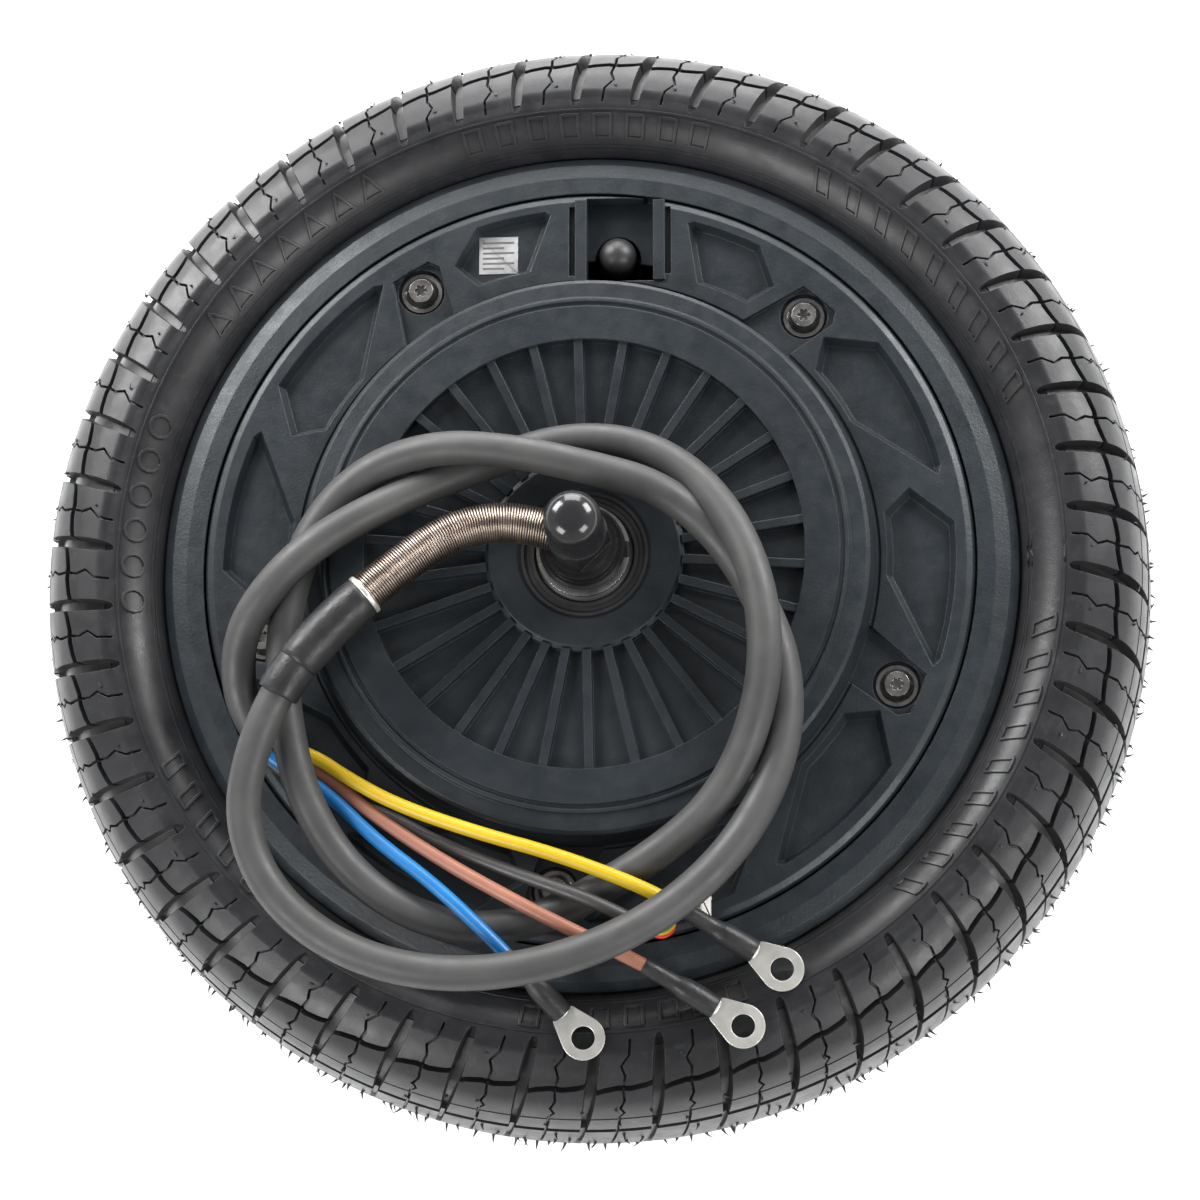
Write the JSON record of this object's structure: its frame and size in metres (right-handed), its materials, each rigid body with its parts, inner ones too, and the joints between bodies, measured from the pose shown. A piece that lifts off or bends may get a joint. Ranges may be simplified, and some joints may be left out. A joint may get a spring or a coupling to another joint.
{
  "type": "hub motor wheel",
  "caption": "Tyred scooter wheel with a brushless motor in its hub: cast cover with radial fins, a fixed axle, and a cable laid in two loose turns ending in ring terminals.",
  "frame": {"origin": "wheel centre: on the axle's line, in the middle plane of the tyre", "axes": "+Z along the axle towards the cable side, +Y towards the valve side, +X to the right seen from the cable side"},
  "size_m": [0.2666, 0.2666, 0.147],
  "materials": {
    "tyre": "matte",
    "rubber": "satin",
    "cover": "satin",
    "shell": "satin",
    "black_steel": "gloss",
    "steel": "satin",
    "screw_steel": "bright",
    "spring_steel": "bright",
    "aluminium": "cast",
    "laminations": "satin",
    "copper": "enamelled",
    "magnet": "plated",
    "insulator": "matte",
    "board": "matte",
    "chip": "matte",
    "black_gloss": "gloss",
    "gasket": "matte",
    "brass": "satin",
    "cable": "satin",
    "lead": "satin",
    "shrink": "satin",
    "tin": "bright",
    "white": "matte",
    "red": "satin",
    "yellow": "satin",
    "green": "satin",
    "blue": "satin",
    "orange": "satin"
  },
  "bodies": {
    "stator": {"axle": "black_steel", "axle_snap_ring": "steel", "front_axle_cap": "black_gloss", "stator_carrier": "aluminium", "stator_core": "laminations", "upper_insulator": "insulator", "lower_insulator": "insulator", "windings": "copper", "hall_sensor_board": "board", "hall_sensors": "chip", "front_bearing_inner_race": "steel", "front_bearing_balls": "screw_steel", "rear_bearing_inner_race": "steel", "rear_bearing_balls": "screw_steel", "motor_cable": "cable", "cable_spring": "spring_steel", "spring_ferrule": "tin", "heat_shrink_large": "shrink", "heat_shrink_small": "shrink", "phase_wire_yellow": "yellow", "phase_wire_brown": "orange", "phase_wire_blue": "blue", "wire_boot_yellow": "shrink", "wire_boot_brown": "shrink", "wire_boot_blue": "shrink", "ring_terminal_yellow": "tin", "ring_terminal_brown": "tin", "ring_terminal_blue": "tin", "hall_lead": "lead", "hall_connector": "white", "hall_wire_red": "red", "hall_wire_yellow": "yellow", "hall_wire_green": "green", "hall_wire_blue": "blue", "hall_wire_white": "white"},
    "wheel": {"tyre": "tyre", "hub_shell": "shell", "front_cover": "cover", "cover_gasket": "gasket", "cover_screws": "screw_steel", "rotor_ring": "steel", "magnets": "magnet", "front_bearing_outer_race": "steel", "rear_bearing_outer_race": "steel", "front_seal": "rubber", "rear_seal": "rubber", "valve_body": "rubber", "valve_tube": "brass"},
    "valve_cap": {"valve_cap": "rubber"},
    "valve_core": {"valve_core_pin": "brass"},
    "rear_cap": {"rear_axle_cap": "black_gloss"}
  },
  "joints": [
    {"name": "wheel_spin", "type": "hinge", "parent": "stator", "child": "wheel", "pos_m": [0, 0, 0], "axis": [0, 0, 1], "continuous": true},
    {"name": "valve_cap_pull", "type": "slide", "parent": "wheel", "child": "valve_cap", "axis": [0, 0, 1], "range_m": [0, 0.0032]},
    {"name": "valve_core_push", "type": "slide", "parent": "wheel", "child": "valve_core", "axis": [0, 0, -1], "range_m": [0, 0.001], "stiffness_N_per_m": 300},
    {"name": "rear_cap_pull", "type": "slide", "parent": "stator", "child": "rear_cap", "axis": [0, 0, -1], "range_m": [0, 0.02]}
  ]
}
